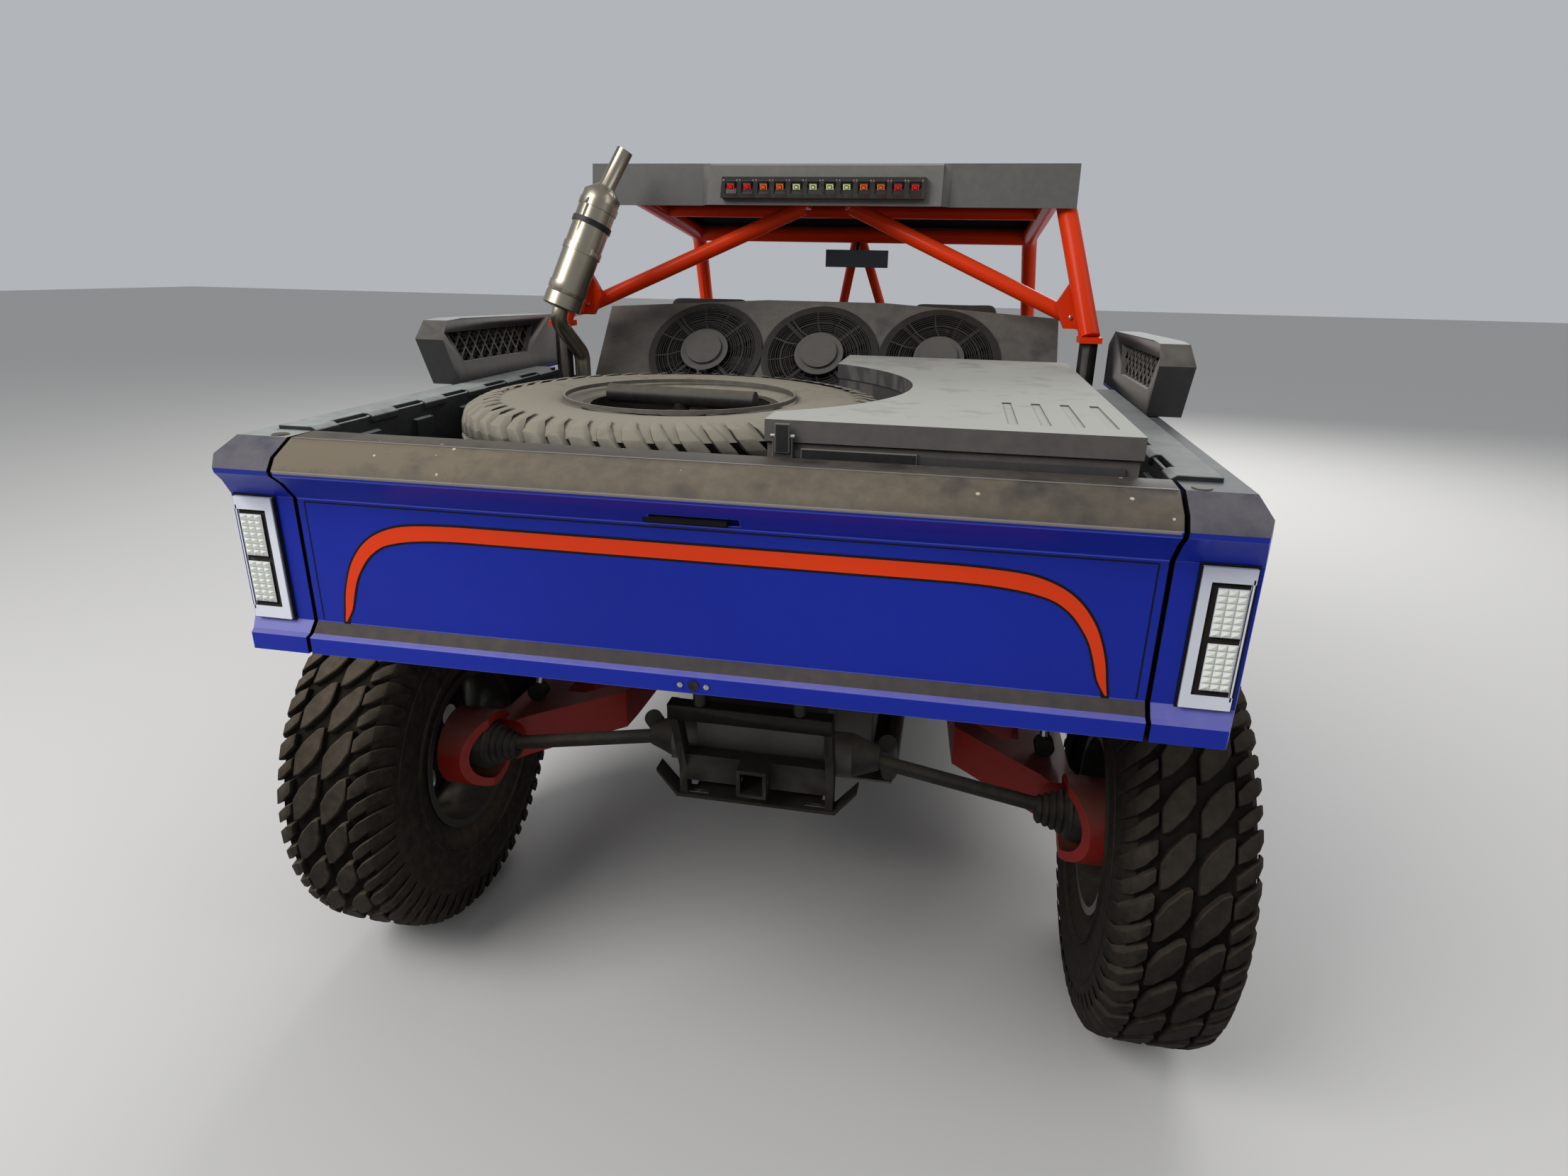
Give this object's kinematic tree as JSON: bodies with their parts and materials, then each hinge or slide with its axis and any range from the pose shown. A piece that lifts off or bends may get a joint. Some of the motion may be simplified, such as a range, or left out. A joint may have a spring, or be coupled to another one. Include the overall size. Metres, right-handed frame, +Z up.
{
  "type": "side by side utv",
  "caption": "Two-seat side by side with roll cage, open bed, tailgate, lidded storage box, flat spare wheel, rear fan panel and steered front wheels.",
  "frame": {"origin": "on the ground below the middle of the vehicle's box", "axes": "+Y forward, +Z up, +X to the vehicle's right"},
  "size_m": [1.996, 3.7499, 1.8994],
  "materials": {
    "body_blue": "gloss",
    "cage_red": "gloss",
    "arm_red": "satin",
    "frame_black": "satin",
    "skid_black": "scratched",
    "moulded_black": "textured",
    "moulded_grey": "dusty",
    "box_grey": "dusty",
    "tyre_black": "dusty",
    "rim_black": "satin",
    "stainless": "brushed",
    "radiator": "dusty",
    "casting": "cast",
    "steel_dark": "satin",
    "seat_cover": "woven",
    "lamp_clear": "clear",
    "mirror_glass": "polished"
  },
  "bodies": {
    "chassis": {"chassis_frame": "frame_black", "belly_skid": "skid_black", "cabin_tub": "moulded_black", "roll_cage": "cage_red", "roof_panel": "moulded_grey", "rear_light_bar": "frame_black", "fan_shroud": "moulded_grey", "radiator_core": "radiator", "fan_guards": "moulded_black", "bed_liner": "moulded_black", "bedsides": "body_blue", "taillights": "lamp_clear", "side_scoops": "moulded_grey", "engine_block": "casting", "transaxle": "casting", "muffler": "stainless", "seats": "seat_cover", "dashboard": "moulded_black", "steering_column": "steel_dark", "rear_view_mirror": "mirror_glass", "hood_panel": "body_blue", "front_fascia": "moulded_black", "front_fenders": "body_blue", "headlights": "lamp_clear", "front_bumper": "frame_black", "front_arms": "arm_red", "steering_rack": "casting", "front_diff": "casting", "front_driveshafts": "steel_dark", "rear_arms": "arm_red", "shocks": "steel_dark", "rear_driveshafts": "steel_dark", "rear_hitch": "frame_black", "spare_tyre": "tyre_black", "spare_rim": "rim_black", "spare_clamp": "frame_black", "storage_box": "box_grey"},
    "tailgate": {"tailgate": "body_blue"},
    "box_lid": {"box_lid": "box_grey"},
    "door_left": {"door_left": "body_blue"},
    "door_right": {"door_right": "body_blue"},
    "knuckle_left": {"knuckle_left": "casting"},
    "knuckle_right": {"knuckle_right": "casting"},
    "tie_rods": {"tie_rods": "steel_dark"},
    "steering_wheel": {"steering_wheel": "moulded_black"},
    "wheel_fl": {"tyre_fl": "tyre_black", "rim_fl": "rim_black"},
    "wheel_fr": {"tyre_fr": "tyre_black", "rim_fr": "rim_black"},
    "wheel_rl": {"tyre_rl": "tyre_black", "rim_rl": "rim_black"},
    "wheel_rr": {"tyre_rr": "tyre_black", "rim_rr": "rim_black"},
    "fan_left": {"fan_rotor_left": "moulded_black"},
    "fan_middle": {"fan_rotor_middle": "moulded_black"},
    "fan_right": {"fan_rotor_right": "moulded_black"}
  },
  "joints": [
    {"name": "tailgate_hinge", "type": "hinge", "parent": "chassis", "child": "tailgate", "pos_m": [0, -1.821, 0.974], "axis": [1, 0, 0], "range_deg": [0, 90]},
    {"name": "box_lid_hinge", "type": "hinge", "parent": "chassis", "child": "box_lid", "pos_m": [0.658, -1.2, 1.398], "axis": [0, 1, 0], "range_deg": [0, 75]},
    {"name": "door_left_hinge", "type": "hinge", "parent": "chassis", "child": "door_left", "pos_m": [-0.776, 0.646, 0.8], "axis": [0, 0, -1], "range_deg": [0, 65]},
    {"name": "door_right_hinge", "type": "hinge", "parent": "chassis", "child": "door_right", "pos_m": [0.776, 0.646, 0.8], "axis": [0, 0, 1], "range_deg": [0, 65]},
    {"name": "steer_left", "type": "hinge", "parent": "chassis", "child": "knuckle_left", "pos_m": [-0.765, 1.419, 0.445], "axis": [0, 0, 1], "range_deg": [-30, 30]},
    {"name": "steer_right", "type": "hinge", "parent": "chassis", "child": "knuckle_right", "pos_m": [0.765, 1.419, 0.445], "axis": [0, 0, 1], "range_deg": [-30, 30]},
    {"name": "steering_wheel_turn", "type": "hinge", "parent": "chassis", "child": "steering_wheel", "pos_m": [-0.365, 0.262, 1.128], "axis": [0, -0.9135, 0.4067], "range_deg": [-270.5, 270.5]},
    {"name": "tie_rod_slide", "type": "slide", "parent": "chassis", "child": "tie_rods", "axis": [1, 0, 0], "range_m": [-0.0705, 0.0705]},
    {"name": "wheel_rl_roll", "type": "hinge", "parent": "chassis", "child": "wheel_rl", "pos_m": [-0.868, -1.281, 0.445], "axis": [-1, 0, 0], "continuous": true},
    {"name": "wheel_rr_roll", "type": "hinge", "parent": "chassis", "child": "wheel_rr", "pos_m": [0.868, -1.281, 0.445], "axis": [-1, 0, 0], "continuous": true},
    {"name": "wheel_fl_roll", "type": "hinge", "parent": "knuckle_left", "child": "wheel_fl", "pos_m": [-0.868, 1.419, 0.445], "axis": [-1, 0, 0], "continuous": true},
    {"name": "wheel_fr_roll", "type": "hinge", "parent": "knuckle_right", "child": "wheel_fr", "pos_m": [0.868, 1.419, 0.445], "axis": [-1, 0, 0], "continuous": true},
    {"name": "fan_left_spin", "type": "hinge", "parent": "chassis", "child": "fan_left", "pos_m": [-0.328, -0.591, 1.383], "axis": [0, 0.7672, -0.6414], "continuous": true},
    {"name": "fan_middle_spin", "type": "hinge", "parent": "chassis", "child": "fan_middle", "pos_m": [0, -0.591, 1.383], "axis": [0, 0.7672, -0.6414], "continuous": true},
    {"name": "fan_right_spin", "type": "hinge", "parent": "chassis", "child": "fan_right", "pos_m": [0.328, -0.591, 1.383], "axis": [0, 0.7672, -0.6414], "continuous": true}
  ],
  "couplings": [
    {"joint": "steer_right", "follows": "steer_left", "ratio": 1},
    {"joint": "steering_wheel_turn", "follows": "steer_left", "ratio": 9},
    {"joint": "tie_rod_slide", "follows": "steer_left", "m_per_rad": 0.13369}
  ]
}
